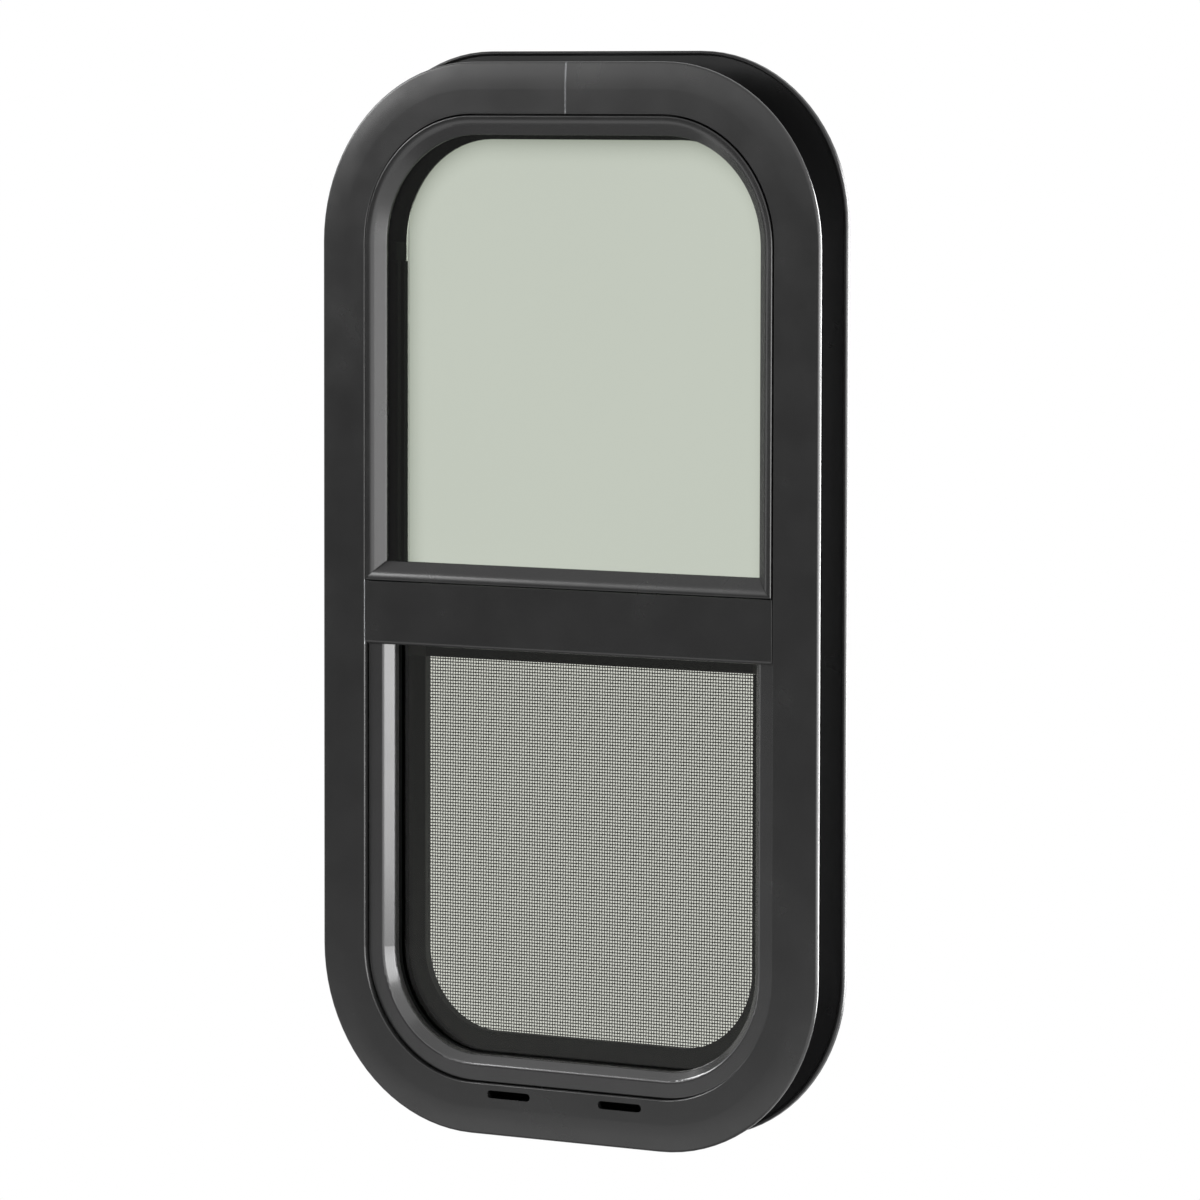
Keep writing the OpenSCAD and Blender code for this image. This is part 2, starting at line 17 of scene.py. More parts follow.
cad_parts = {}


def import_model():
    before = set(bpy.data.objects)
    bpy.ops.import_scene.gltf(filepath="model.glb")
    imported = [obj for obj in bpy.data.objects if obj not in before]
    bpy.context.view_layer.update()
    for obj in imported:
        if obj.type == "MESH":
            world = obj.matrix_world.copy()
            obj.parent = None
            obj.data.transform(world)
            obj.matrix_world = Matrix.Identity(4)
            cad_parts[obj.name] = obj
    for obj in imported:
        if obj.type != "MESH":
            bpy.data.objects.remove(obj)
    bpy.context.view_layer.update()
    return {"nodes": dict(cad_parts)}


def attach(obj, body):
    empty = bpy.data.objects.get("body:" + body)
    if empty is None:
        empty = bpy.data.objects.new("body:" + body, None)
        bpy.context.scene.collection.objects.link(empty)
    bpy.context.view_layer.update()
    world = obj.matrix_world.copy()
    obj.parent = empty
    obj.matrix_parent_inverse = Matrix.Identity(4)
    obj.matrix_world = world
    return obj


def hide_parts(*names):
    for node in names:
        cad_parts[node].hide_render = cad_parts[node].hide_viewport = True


Tree = bpy.types.NodeTree
Socket = bpy.types.NodeSocket

LOG = logging.getLogger("window")
MM = 0.001
IMAGE_PX = 1200
SENSOR_MM = 36.0
WHITE = (1.0, 1.0, 1.0, 1.0)
# Where a colour Mix node keeps its two colours and its result.
COLOUR_A, COLOUR_B, COLOUR_OUT = 6, 7, 2
# Nearly all values of a noise texture lie between these two.
NOISE_LOW, NOISE_HIGH = 0.3, 0.7
ORIGIN = (0.0, 0.0, 0.0)
# The turns that take a fastener's head from +Z to +Y, the room's side, or leave it upward.
TO_ROOM = (-math.pi / 2, 0.0, 0.0)
UPWARD = (0.0, 0.0, 0.0)


def linear(code: str) -> tuple[float, float, float, float]:
    """Turns an sRGB hex colour into linear RGBA.

    Args:
        code: six hex digits after a hash sign.

    Returns:
        Red, green, blue and an alpha of one.
    """
    parts = [int(code[i : i + 2], 16) / 255 for i in (1, 3, 5)]
    red, green, blue = (p / 12.92 if p <= 0.04045 else ((p + 0.055) / 1.055) ** 2.4 for p in parts)
    return red, green, blue, 1.0


def add(tree: Tree, kind: str, inputs: Mapping[Any, Any] | None = None, **settings: Any) -> Any:
    """Adds a node with its settings, values and links.

    Args:
        tree: the shader or geometry tree.
        kind: the node's type.
        inputs: a value, an output socket or a list of output sockets for each input.
        settings: the node's own properties.

    Returns:
        The new node.
    """
    node = tree.nodes.new(kind)
    for name, value in settings.items():
        setattr(node, name, value)
    for key, value in (inputs or {}).items():
        for part in value if isinstance(value, list) else [value]:
            if isinstance(part, Socket):
                tree.links.new(part, node.inputs[key])
            else:
                node.inputs[key].default_value = part
    return node


def put(name: str, data: Any) -> bpy.types.Object:
    """Puts an object in the scene.

    Args:
        name: the object's name.
        data: its mesh, lamp or camera.

    Returns:
        The object.
    """
    made = bpy.data.objects.new(name, data)
    bpy.context.scene.collection.objects.link(made)
    return made


# Finishes


def new_material(name: str) -> tuple[bpy.types.Material, Tree]:
    """Starts a node material.

    Args:
        name: the material's name.

    Returns:
        The material and its empty tree.
    """
    made = bpy.data.materials.new(name)
    made.use_nodes = True
    made.node_tree.nodes.clear()
    return made, made.node_tree


@dataclass(frozen=True)
class SawCutAndHighlightStrip:
    """A bright metal strip, in millimetres across X and Z: uncoated aluminium at a saw cut, a painted
    highlight where it stands in for light on an edge.
    """

    middle_x: float
    middle_z: float
    half_x: float
    half_z: float

    def mask(self, tree: Tree, spot: Sequence[Socket]) -> Socket:
        """Adds the strip's mask.

        Args:
            tree: the shader tree.
            spot: the outputs of the split Object coordinates.

        Returns:
            A socket that is 1 in the strip.
        """
        spans = ((spot[0], self.middle_x, self.half_x), (spot[2], self.middle_z, self.half_z))
        inside = [
            add(tree, "ShaderNodeMath", {0: part, 1: mid * MM, 2: half * MM}, operation="COMPARE").outputs[0]
            for part, mid, half in spans
        ]
        return add(tree, "ShaderNodeMath", {0: inside[0], 1: inside[1]}, operation="MULTIPLY").outputs[0]


@dataclass(frozen=True)
class Finish:
    """A finish made of a base colour that drifts, a roughness that drifts and a fine relief.

    Sizes are real ones in millimetres: the grain of the relief, how broad the drifts are, and the
    round of the edges. From where the rounded normal leaves the flat one, an edge is lightened,
    partly as rubbed coat and partly as a painted highlight.
    """

    name: str
    colour: str
    colour_far: str
    rough: tuple[float, float] = (0.4, 0.5)
    drift_mm: float = 40.0
    grain_mm: float = 1.5
    grain_deep_mm: float = 0.006
    stretch: tuple[float, float, float] = (1.0, 1.0, 1.0)
    edge_mm: float = 0.35
    rubbed_and_highlit_edge: float = 0.0
    rubbed_and_highlit_span: tuple[float, float] = (0.99, 0.8)
    cut_and_highlight_strips: tuple[SawCutAndHighlightStrip, ...] = ()
    bare_and_highlight_colour: str = "#c4c5c7"
    sockets: Mapping[str, Any] = field(default_factory=dict)

    def material(self) -> bpy.types.Material:
        """Builds the finish as a node material.

        Returns:
            The material, with its pattern on Object coordinates.
        """
        made, tree = new_material(self.name)
        place = add(tree, "ShaderNodeTexCoord").outputs["Object"]
        laid = add(tree, "ShaderNodeMapping", {"Vector": place, "Scale": self.stretch}).outputs["Vector"]
        broad = {"Vector": laid, "Scale": 1 / (self.drift_mm * MM), "Detail": 3.0, "Roughness": 0.55}
        drift = add(tree, "ShaderNodeTexNoise", broad).outputs["Fac"]
        fine = {"Vector": laid, "Scale": 1 / (self.grain_mm * MM), "Detail": 2.0, "Roughness": 0.5}
        grain = add(tree, "ShaderNodeTexNoise", fine).outputs["Fac"]
        tones = {"Factor": drift, COLOUR_A: linear(self.colour), COLOUR_B: linear(self.colour_far)}
        colour = add(tree, "ShaderNodeMix", tones, data_type="RGBA").outputs[COLOUR_OUT]
        span = {"Value": drift, "From Min": NOISE_LOW, "From Max": NOISE_HIGH}
        rough = add(tree, "ShaderNodeMapRange", {**span, "To Min": self.rough[0], "To Max": self.rough[1]})
        inputs = {"Base Color": colour, "Roughness": rough.outputs["Result"], **self.sockets}
        relief = {"Height": grain, "Distance": self.grain_deep_mm * MM, "Strength": 1.0}
        if self.edge_mm:
            bevel = add(tree, "ShaderNodeBevel", {"Radius": self.edge_mm * MM}, samples=4)
            relief["Normal"] = bevel.outputs["Normal"]
        if self.rubbed_and_highlit_edge:
            inputs["Base Color"] = self.lighten_rubbed_and_highlit_edges(tree, colour, relief["Normal"])
        if self.cut_and_highlight_strips:
            inputs.update(self.lay_cuts_and_highlights(tree, place, inputs["Base Color"]))
        inputs["Normal"] = add(tree, "ShaderNodeBump", relief).outputs["Normal"]
        shader = add(tree, "ShaderNodeBsdfPrincipled", inputs)
        add(tree, "ShaderNodeOutputMaterial", {"Surface": shader.outputs["BSDF"]})
        return made

    def lighten_rubbed_and_highlit_edges(self, tree: Tree, colour: Socket, rounded: Socket) -> Socket:
        """Lightens the colour at every edge: partly the coat rubbed thin, partly a painted highlight.

        Args:
            tree: the shader tree.
            colour: the coat's colour socket.
            rounded: the bevelled normal, which differs from the surface's own at an edge.

        Returns:
            The colour socket with its edges lightened, partly as rubbed coat and partly as a painted
            highlight.
        """
        own = add(tree, "ShaderNodeNewGeometry").outputs["Normal"]
        alike = add(tree, "ShaderNodeVectorMath", {0: own, 1: rounded}, operation="DOT_PRODUCT").outputs[1]
        span = {"Value": alike, "From Min": self.rubbed_and_highlit_span[0], "From Max": self.rubbed_and_highlit_span[1]}
        thin = add(tree, "ShaderNodeMapRange", {**span, "To Min": 0.0, "To Max": self.rubbed_and_highlit_edge}).outputs[0]
        tones = {"Factor": thin, COLOUR_A: colour, COLOUR_B: linear(self.bare_and_highlight_colour)}
        return add(tree, "ShaderNodeMix", tones, data_type="RGBA").outputs[COLOUR_OUT]

    def lay_cuts_and_highlights(self, tree: Tree, place: Socket, colour: Socket) -> dict[str, Socket]:
        """Shows bright metal in every strip: uncoated aluminium at a saw cut, a painted highlight at the
        rail's end.

        Args:
            tree: the shader tree.
            place: the Object coordinates' socket.
            colour: the coat's colour socket.

        Returns:
            The sockets for the shader's metallic share and base colour.
        """
        spot = add(tree, "ShaderNodeSeparateXYZ", {0: place}).outputs
        share = self.cut_and_highlight_strips[0].mask(tree, spot)
        for strip in self.cut_and_highlight_strips[1:]:
            both = {0: share, 1: strip.mask(tree, spot)}
            share = add(tree, "ShaderNodeMath", both, operation="MAXIMUM").outputs[0]
        tones = {"Factor": share, COLOUR_A: colour, COLOUR_B: linear(self.bare_and_highlight_colour)}
        shown = add(tree, "ShaderNodeMix", tones, data_type="RGBA").outputs[COLOUR_OUT]
        return {"Metallic": share, "Base Color": shown}


# Black polyester powder coat on extruded aluminium: satin, with a faint orange peel. The saw cut at
# the butt joint shows as a thin bright line of uncoated metal; the thin bright line at the rail's left
# end is a painted highlight. Its edges are lightened a little, partly as rubbed coat and partly as a
# painted highlight.
FRAME_COAT = Finish(
    "black_powder_coat_on_extruded_aluminium", "#151515", "#191919", (0.22, 0.28), 45.0, 1.6, 0.003,
    # The first strip is the saw cut at the butt joint; the second, at the rail's left end only, is a painted
    # highlight.
    rubbed_and_highlit_edge=0.03, cut_and_highlight_strips=(SawCutAndHighlightStrip(0.0, 380.0, 0.6, 20.0), SawCutAndHighlightStrip(-178.9, -12.5, 0.5, 24.0)),
    bare_and_highlight_colour="#929395",
    sockets={"IOR": 1.5, "Specular IOR Level": 0.875},
)
# The nose profile is coated too, but on a polished extrusion, so that its round face shines more.
# Its edges are lightened a little, partly as rubbed coat and partly as a painted highlight.
INSERT_COAT = Finish(
    "black_gloss_coat_on_polished_extrusion", "#121212", "#161617", (0.22, 0.27), 45.0, 1.6, 0.002, rubbed_and_highlit_edge=0.05,
    sockets={"IOR": 1.5, "Specular IOR Level": 1.0, "Coat Weight": 1.0, "Coat Roughness": 0.12},
)
# The ring is wet-painted in a thinner film, which shines less; its edges are lightened more,
# partly as rubbed coat and partly as a painted highlight.
RING_COAT = Finish(
    "black_wet_paint_on_bent_aluminium", "#171717", "#1b1b1c", (0.26, 0.34), 50.0, 1.8, 0.004, rubbed_and_highlit_edge=0.08,
    sockets={"IOR": 1.5, "Specular IOR Level": 0.45},
)
# Mill aluminium shows the lines that the die draws along the profile.
MILL_METAL = Finish(
    "mill_finish_extruded_aluminium", "#b9babc", "#cacbcd", (0.30, 0.42), 18.0, 0.5, 0.003, (0.05, 1.0, 1.0),
    sockets={"Metallic": 1.0, "Anisotropic": 0.4},
)
# EPDM rubber is dead black and a little dusty.
RUBBER = Finish(
    "extruded_epdm_rubber", "#0d0d0d", "#141414", (0.62, 0.78), 25.0, 0.5, 0.006, edge_mm=0.2,
    sockets={"IOR": 1.5, "Specular IOR Level": 0.3},
)
# The run channel is rubber with a nylon flock, whose fibres stand up and take the light away.
FLOCK = Finish(
    "nylon_flocked_rubber", "#070908", "#0a0c0b", (0.92, 1.0), 12.0, 0.35, 0.003, edge_mm=0.6,
    sockets={"Specular IOR Level": 0.05, "Sheen Weight": 0.01, "Sheen Roughness": 0.5},
)
# Glass-filled nylon has a fine spark-eroded texture from its mould.
NYLON = Finish(
    "moulded_black_nylon", "#151515", "#1b1b1b", (0.48, 0.6), 30.0, 0.45, 0.012, edge_mm=0.4,
    sockets={"IOR": 1.53, "Specular IOR Level": 0.4},
)
# The screen's frame is roll-formed from painted strip, whose matt greenish black hardly shines.
SCREEN_COAT = Finish(
    "coil_painted_aluminium_strip", "#080b0a", "#0a0e0d", (0.55, 0.65), 40.0, 1.2, 0.002,
    sockets={"IOR": 1.5, "Specular IOR Level": 0.08},
)
# PVC-coated glass yarn, charcoal, with a soft waxy shine.
YARN = Finish(
    "pvc_coated_glass_yarn", "#0e0e0e", "#141413", (0.5, 0.65), 8.0, 0.5, 0.004, edge_mm=0.0,
    sockets={"IOR": 1.5, "Specular IOR Level": 0.25},
)
# Zinc-plated steel with a black passivation, as on the screws.
BLACK_ZINC = Finish(
    "black_passivated_zinc_on_steel", "#3b3b3d", "#4a4a4c", (0.28, 0.4), 4.0, 0.6, 0.004, edge_mm=0.15,
    sockets={"Metallic": 1.0},
)


@dataclass(frozen=True)
class GlassFinish:
    """Float glass, heat-treated and tinted, with the faint roll wave of the oven.

    Its sizes are millimetres. Where its painted shade has a width, the tint is darkened over that
    width as painted shade at the edge of a rounded opening, given by its middle, its half sizes in X
    and Z and its corner radius. The opening is set to the left and up, so the painted shade shows at
    the left and top edges only.
    """

    name: str
    tint: str
    tint_far: str
    painted_shade_tint: str = "#8f9688"
    painted_shade_mm: float = 0.0
    painted_shade_power: float = 2.2
    painted_shade_middle: tuple[float, float, float] = (12.5, 0.0, 150.0)
    painted_shade_half: tuple[float, float] = (163.5, 194.0)
    painted_shade_corner: float = 82.0
    drift_mm: float = 250.0
    dust_rough: float = 0.012
    wave_mm: float = 260.0
    wave_deep_mm: float = 0.03

    def material(self) -> bpy.types.Material:
        """Builds the glass as a node material.

        Returns:
            The material, clear, with its tint and a thin film of dust.
        """
        made, tree = new_material(self.name)
        place = add(tree, "ShaderNodeTexCoord").outputs["Object"]
        broad = {"Vector": place, "Scale": 1 / (self.drift_mm * MM), "Detail": 1.0}
        drift = add(tree, "ShaderNodeTexNoise", broad).outputs["Fac"]
        tones = {"Factor": drift, COLOUR_A: linear(self.tint), COLOUR_B: linear(self.tint_far)}
        tint = add(tree, "ShaderNodeMix", tones, data_type="RGBA").outputs[COLOUR_OUT]
        if self.painted_shade_mm:
            tint = self.paint_edge_shade(tree, place, tint)
        span = {"Value": drift, "From Min": NOISE_LOW, "From Max": NOISE_HIGH}
        dust = add(tree, "ShaderNodeMapRange", {**span, "To Min": 0.0, "To Max": self.dust_rough})
        roll = {"Vector": place, "Scale": 1 / (self.wave_mm * MM), "Distortion": 0.5}
        wave = add(tree, "ShaderNodeTexWave", roll, bands_direction="Z").outputs["Fac"]
        bump = add(tree, "ShaderNodeBump", {"Height": wave, "Distance": self.wave_deep_mm * MM})
        inputs = {
            "Base Color": tint,
            "Roughness": dust.outputs["Result"],
            "Normal": bump.outputs["Normal"],
            "IOR": 1.5,
            "Transmission Weight": 1.0,
        }
        shader = add(tree, "ShaderNodeBsdfPrincipled", inputs)
        add(tree, "ShaderNodeOutputMaterial", {"Surface": shader.outputs["BSDF"]})
        return made

    def paint_edge_shade(self, tree: Tree, place: Socket, tint: Socket) -> Socket:
        """Paints shade into the tint towards the edge of the opening, so that the left and top rim look
        darker.

        Args:
            tree: the shader tree.
            place: the Object coordinates' socket.
            tint: the glass's colour socket.

        Returns:
            The colour socket with its painted shade.
        """
        shift = {0: place, 1: tuple(n * MM for n in self.painted_shade_middle)}
        centred = add(tree, "ShaderNodeVectorMath", shift, operation="SUBTRACT").outputs[0]
        size = add(tree, "ShaderNodeVectorMath", {0: centred}, operation="ABSOLUTE").outputs[0]
        # A metre in Y keeps the pane's thickness out of the reckoning.
        half_x, half_z = self.painted_shade_half
        corner = ((half_x - self.painted_shade_corner) * MM, 1.0, (half_z - self.painted_shade_corner) * MM)
        past = add(tree, "ShaderNodeVectorMath", {0: size, 1: corner}, operation="SUBTRACT").outputs[0]
        kept = add(tree, "ShaderNodeVectorMath", {0: past, 1: ORIGIN}, operation="MAXIMUM").outputs[0]
        reach = add(tree, "ShaderNodeVectorMath", {0: kept}, operation="LENGTH").outputs["Value"]
        inner, outer = (self.painted_shade_corner - self.painted_shade_mm) * MM, self.painted_shade_corner * MM
        edge = {"Value": reach, "From Min": inner, "From Max": outer}
        share = add(tree, "ShaderNodeMapRange", edge).outputs[0]
        deep = add(tree, "ShaderNodeMath", {0: share, 1: self.painted_shade_power}, operation="POWER").outputs[0]
        tones = {"Factor": deep, COLOUR_A: tint, COLOUR_B: linear(self.painted_shade_tint)}
        return add(tree, "ShaderNodeMix", tones, data_type="RGBA").outputs[COLOUR_OUT]


# The fixed pane's light grey green comes from the iron in it; a painted shade darkens the tint along its left
# and top rim.
UPPER_GLASS = GlassFinish("tinted_toughened_float_glass", "#c6ccc0", "#cad0c4", painted_shade_mm=24.0)
# The sliding pane can't be told apart from the cloth behind it, so its tint is fitted to the cloth's shade.
SASH_GLASS = GlassFinish("grey_tinted_toughened_float_glass", "#d9dad1", "#dddfd5")


@dataclass
class Workshop:
    """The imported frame's nodes, and the material of each finish, which is made once."""

    nodes: Mapping[str, bpy.types.Object]
    made: dict[str, bpy.types.Material] = field(default_factory=dict)

    def material(self, finish: Finish | GlassFinish) -> bpy.types.Material:
        """Gives a finish's material and makes it the first time.

        Args:
            finish: the finish.

        Returns:
            Its material.
        """
        if finish.name not in self.made:
            self.made[finish.name] = finish.material()
        return self.made[finish.name]

    def dress(self, finish: Finish | GlassFinish, names: Iterable[str]) -> None:
        """Gives CAD nodes a finish.

        Args:
            finish: the finish that they get.
            names: the nodes' names.
        """
        for name in names:
            mesh = self.nodes[name].data
            mesh.materials.clear()
            mesh.materials.append(self.material(finish))
            LOG.info("dressed %s in %s", name, finish.name)


# Pieces made from node trees


def new_tree(name: str, inputs: Mapping[str, str]) -> tuple[Tree, Any, Any]:
    """Starts a geometry tree with named inputs.

    Args:
        name: the tree's name.
        inputs: the name and the kind of each input after the geometry.

    Returns:
        The tree, its input node and its output node.
    """
    tree = bpy.data.node_groups.new(name, "GeometryNodeTree")
    tree.interface.new_socket("Geometry", in_out="INPUT", socket_type="NodeSocketGeometry")
    for label, kind in inputs.items():
        tree.interface.new_socket(label, in_out="INPUT", socket_type=f"NodeSocket{kind}")
    tree.interface.new_socket("Geometry", in_out="OUTPUT", socket_type="NodeSocketGeometry")
    return tree, tree.nodes.new("NodeGroupInput"), tree.nodes.new("NodeGroupOutput")


def close_tree(tree: Tree, enter: Any, leave: Any, shape: Socket) -> None:
    """Ends a tree with Realize Instances and Set Material.

    Args:
        tree: the geometry tree.
        enter: its input node.
        leave: its output node.
        shape: the socket of the finished shape.
    """
    real = add(tree, "GeometryNodeRealizeInstances", {"Geometry": shape}).outputs[0]
    done = add(tree, "GeometryNodeSetMaterial", {"Geometry": real, "Material": enter.outputs["Finish"]})
    tree.links.new(done.outputs[0], leave.inputs[0])


def from_tree(
    name: str,
    tree: Tree,
    values: Mapping[str, Any],
    points: Sequence[Vector] = (),
    edges: Sequence[tuple[int, int]] = (),
) -> bpy.types.Object:
    """Runs a geometry tree on points and edges and keeps the result as a plain mesh.

    Args:
        name: the piece's name.
        tree: the geometry tree.
        values: a value for each named input.
        points: the vertices that the tree starts from.
        edges: the edges between them.

    Returns:
        The piece's object, at the origin, with no modifier.
    """
    start = bpy.data.meshes.new(name)
    start.from_pydata([tuple(p) for p in points], list(edges), [])
    piece = put(name, start)
    modifier = piece.modifiers.new("shape", "NODES")
    modifier.node_group = tree
    for item in tree.interface.items_tree:
        if item.item_type == "SOCKET" and item.in_out == "INPUT" and item.name in values:
            modifier[item.identifier] = values[item.name]
    bpy.context.view_layer.update()
    graph = bpy.context.evaluated_depsgraph_get()
    made = bpy.data.meshes.new_from_object(piece.evaluated_get(graph), depsgraph=graph)
    piece.modifiers.clear()
    piece.data = made
    made.name = name
    bpy.data.meshes.remove(start)
    return piece


def settle(piece: bpy.types.Object, slot: str, *stands_for: str) -> None:
    """Makes a finished piece ride on the window and hides the CAD nodes that it replaces.

    Args:
        piece: the piece.
        slot: the record's material slot, which is not used.
        stands_for: the CAD nodes that it replaces.
    """
    if stands_for:
        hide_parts(*stands_for)
    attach(piece, "root")
    LOG.info("made %s with %d faces", piece.name, len(piece.data.polygons))


class Drive(Enum):
    """What a fastener's head has to turn it by."""

    CROSS = "cross recess"
    NONE = "plain dome"


@dataclass(frozen=True)
class Fastener:
    """A small domed fastener that stands on its seat along its own axis.

    The recess's reach and width are shares of the head's radius, its depth one of the dome's height.
    """

    name: str
    drive: Drive
    head_r_mm: float
    rim_mm: float
    dome_mm: float
    shank_r_mm: float
    shank_mm: float
    dome_power: float = 2.4
    recess_reach: float = 1.15
    recess_width: float = 0.22
    recess_depth: float = 1.6
    seed: int = 3

    def tree(self) -> Tree:
        """Builds the tree that puts the fastener on each point.

        Returns:
            The geometry tree.
        """
        tree, enter, leave = new_tree(
            self.name,
            {
                "Head radius": "Float",
                "Rim height": "Float",
                "Dome height": "Float",
                "Shank radius": "Float",
                "Shank length": "Float",
                "Turn": "Rotation",
                "Finish": "Material",
            },
        )
        got = enter.outputs
        head = self.domed_head(tree, got)
        if self.drive is Drive.CROSS:
            head = self.cut_cross(tree, head, got)
        seat = add(tree, "ShaderNodeMath", {0: got["Rim height"], 1: 0.5}, operation="MULTIPLY").outputs[0]
        lift = add(tree, "ShaderNodeCombineXYZ", {2: seat}).outputs[0]
        raised = add(tree, "GeometryNodeTransform", {"Geometry": head, "Translation": lift}).outputs[0]
        sizes = {"Vertices": 16, "Radius": got["Shank radius"], "Depth": got["Shank length"]}
        shank = add(tree, "GeometryNodeMeshCylinder", sizes).outputs["Mesh"]
        half = add(tree, "ShaderNodeMath", {0: got["Shank length"], 1: -0.5}, operation="MULTIPLY").outputs[0]
        drop = add(tree, "ShaderNodeCombineXYZ", {2: half}).outputs[0]
        sunk = add(tree, "GeometryNodeTransform", {"Geometry": shank, "Translation": drop}).outputs[0]
        whole = add(tree, "GeometryNodeJoinGeometry", {0: [raised, sunk]}).outputs[0]
        seats = {"Points": got["Geometry"], "Instance": whole, "Rotation": got["Turn"]}
        spread = add(tree, "GeometryNodeInstanceOnPoints", seats).outputs[0]
        limits = {"Min": 0.0, "Max": math.tau, "Seed": self.seed}
        spin = add(tree, "FunctionNodeRandomValue", limits, data_type="FLOAT").outputs["Value"]
        about = add(tree, "ShaderNodeCombineXYZ", {2: spin}).outputs[0]
        turned = add(tree, "GeometryNodeRotateInstances", {"Instances": spread, "Rotation": about}).outputs[0]
        close_tree(tree, enter, leave, turned)
        return tree

    def domed_head(self, tree: Tree, got: Any) -> Socket:
        """Adds the head: a round disc whose top is raised to a dome.

        Args:
            tree: the fastener's tree.
            got: the tree's input sockets.

        Returns:
            The head's mesh socket.
        """
        radius = got["Head radius"]
        counts = {"Vertices": 28, "Side Segments": 1, "Fill Segments": 6}
        sizes = {**counts, "Radius": radius, "Depth": got["Rim height"]}
        disc = add(tree, "GeometryNodeMeshCylinder", sizes, fill_type="TRIANGLE_FAN").outputs["Mesh"]
        place = add(tree, "GeometryNodeInputPosition").outputs[0]
        part = add(tree, "ShaderNodeSeparateXYZ", {0: place}).outputs
        flat = add(tree, "ShaderNodeCombineXYZ", {0: part[0], 1: part[1]}).outputs[0]
        reach = add(tree, "ShaderNodeVectorMath", {0: flat}, operation="LENGTH").outputs["Value"]
        share = add(tree, "ShaderNodeMath", {0: reach, 1: radius}, operation="DIVIDE").outputs[0]
        power = add(tree, "ShaderNodeMath", {0: share, 1: self.dome_power}, operation="POWER").outputs[0]
        crown = add(tree, "ShaderNodeMath", {0: 1.0, 1: power}, operation="SUBTRACT").outputs[0]
        rise = add(tree, "ShaderNodeMath", {0: crown, 1: got["Dome height"]}, operation="MULTIPLY").outputs[0]
        on_top = add(tree, "FunctionNodeCompare", {0: part[2], 1: 0.0}, operation="GREATER_THAN").outputs[0]
        lift = add(tree, "ShaderNodeCombineXYZ", {2: rise}).outputs[0]
        moved = {"Geometry": disc, "Selection": on_top, "Offset": lift}
        return add(tree, "GeometryNodeSetPosition", moved).outputs[0]

    def cut_cross(self, tree: Tree, head: Socket, got: Any) -> Socket:
        """Cuts a cross recess into a head.

        Args:
            tree: the fastener's tree.
            head: the head's mesh socket.
            got: the tree's input sockets.

        Returns:
            The socket of the cut head.
        """
        radius, dome = got["Head radius"], got["Dome height"]
        arm = add(tree, "ShaderNodeMath", {0: radius, 1: self.recess_reach}, operation="MULTIPLY").outputs[0]
        wide = add(tree, "ShaderNodeMath", {0: radius, 1: self.recess_width}, operation="MULTIPLY").outputs[0]
        tall = add(tree, "ShaderNodeMath", {0: dome, 1: self.recess_depth}, operation="MULTIPLY").outputs[0]
        top = add(tree, "ShaderNodeMath", {0: got["Rim height"], 1: dome}, operation="ADD").outputs[0]
        bars = []
        for sizes in ({0: arm, 1: wide, 2: tall}, {0: wide, 1: arm, 2: tall}):
            size = add(tree, "ShaderNodeCombineXYZ", sizes).outputs[0]
            bar = add(tree, "GeometryNodeMeshCube", {"Size": size}).outputs["Mesh"]
            lift = add(tree, "ShaderNodeCombineXYZ", {2: top}).outputs[0]
            bars.append(add(tree, "GeometryNodeTransform", {"Geometry": bar, "Translation": lift}).outputs[0])
        cut = add(tree, "GeometryNodeMeshBoolean", {0: head, 1: bars}, operation="DIFFERENCE", solver="EXACT")
        return cut.outputs["Mesh"]

    def place(
        self,
        name: str,
        spots: Sequence[Vector],
        turn: tuple[float, float, float],
        material: bpy.types.Material,
    ) -> bpy.types.Object:
        """Makes one piece of all the fasteners of a set.

        Args:
            name: the piece's name.
            spots: the seats, in metres.
            turn: the Euler angles that take the head from +Z to its real direction.
            material: their finish.

        Returns:
            The piece.
        """
        values = {
            "Head radius": self.head_r_mm * MM,
            "Rim height": self.rim_mm * MM,
            "Dome height": self.dome_mm * MM,
            "Shank radius": self.shank_r_mm * MM,
            "Shank length": self.shank_mm * MM,
            "Turn": turn,
            "Finish": material,
        }
        return from_tree(name, self.tree(), values, spots)


@dataclass
class Outline:
    """The rounded outline of the window's flange, in millimetres, which every profile follows."""

    half_w: float = 217.5
    half_h: float = 398.0
    corner_r: float = 134.0

    def lower_u(self, inset: float, depth: float, top_z: float, steps: int = 24) -> list[Vector]:
        """Follows the outline, set in, from one side down round the bottom to the other.

        Args:
            inset: how far inside the outline the path runs.
            depth: the path's Y.
            top_z: where both its ends are.
            steps: points in each corner.

        Returns:
            The path's points in metres.
        """
        radius = self.corner_r - inset
        centre_x, centre_z = self.half_w - self.corner_r, self.half_h - self.corner_r
        path = [Vector((-self.half_w + inset, depth, top_z))]
        for start, side in ((math.pi, -1), (1.5 * math.pi, 1)):
            for step in range(steps + 1):
                angle = start + step * math.pi / 2 / steps
                x, z = side * centre_x + radius * math.cos(angle), -centre_z + radius * math.sin(angle)
                path.append(Vector((x, depth, z)))
        path.append(Vector((self.half_w - inset, depth, top_z)))
        return [p * MM for p in path]


